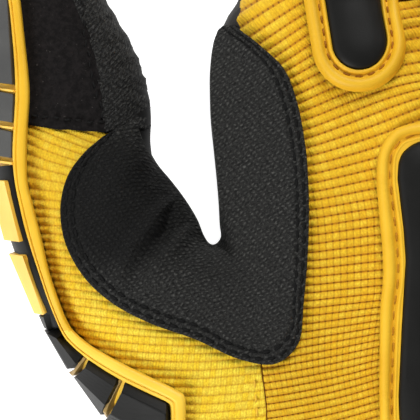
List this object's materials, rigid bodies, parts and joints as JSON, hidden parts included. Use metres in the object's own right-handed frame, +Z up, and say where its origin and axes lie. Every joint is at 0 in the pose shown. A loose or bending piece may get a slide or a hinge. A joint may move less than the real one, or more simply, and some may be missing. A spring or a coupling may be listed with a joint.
{
  "type": "mechanic glove",
  "caption": "Right-hand mechanic glove with a ribbed stretch back, synthetic leather palm, a reinforced thumb crotch and moulded impact guards.",
  "frame": {"origin": "on the surface that the glove lies on, palm down, under the middle of its outline", "axes": "+Y from the cuff towards the fingertips, +X from the thumb side to the little finger side, +Z up out of the back of the hand"},
  "size_m": [0.1687, 0.2543, 0.0387],
  "materials": {
    "ribbed_fabric": "yellow cross-ribbed stretch knit, matt with a slight sheen on the ribs",
    "suede": "black brushed suede-like synthetic leather, matt",
    "palm_leather": "black fine-grained synthetic leather, matt",
    "patch_fabric": "black coarse-grained reinforcement with twill rows, satin grain on matt ground",
    "cuff_fabric": "black knitted elastic, matt",
    "yellow_rubber": "moulded yellow thermoplastic rubber, satin",
    "black_rubber": "moulded black thermoplastic rubber, satin"
  },
  "bodies": {
    "root": {"thumb_sleeve": "suede", "thumb_base_panel": "ribbed_fabric", "back_panel": "ribbed_fabric", "palm_panel": "palm_leather", "cuff_band": "cuff_fabric", "saddle_patch": "patch_fabric", "finger_guard_index": "yellow_rubber", "finger_pad_index": "black_rubber", "finger_guard_middle": "yellow_rubber", "finger_pad_middle": "black_rubber", "finger_guard_ring": "yellow_rubber", "finger_pad_ring": "black_rubber", "finger_guard_pinky": "yellow_rubber", "finger_pad_pinky": "black_rubber", "knuckle_pad_index": "black_rubber", "knuckle_pad_middle": "black_rubber", "knuckle_pad_ring": "black_rubber", "knuckle_pad_pinky": "black_rubber", "knuckle_guard": "yellow_rubber", "thumb_guard": "yellow_rubber", "thumb_block_1": "black_rubber", "thumb_block_2": "black_rubber", "thumb_block_3": "black_rubber", "thumb_block_4": "black_rubber", "thumb_block_5": "black_rubber", "thumb_block_6": "black_rubber", "thumb_block_7": "black_rubber", "thumb_pad_1": "yellow_rubber", "thumb_pad_2": "yellow_rubber", "thumb_frame": "black_rubber"}
  },
  "joints": []
}
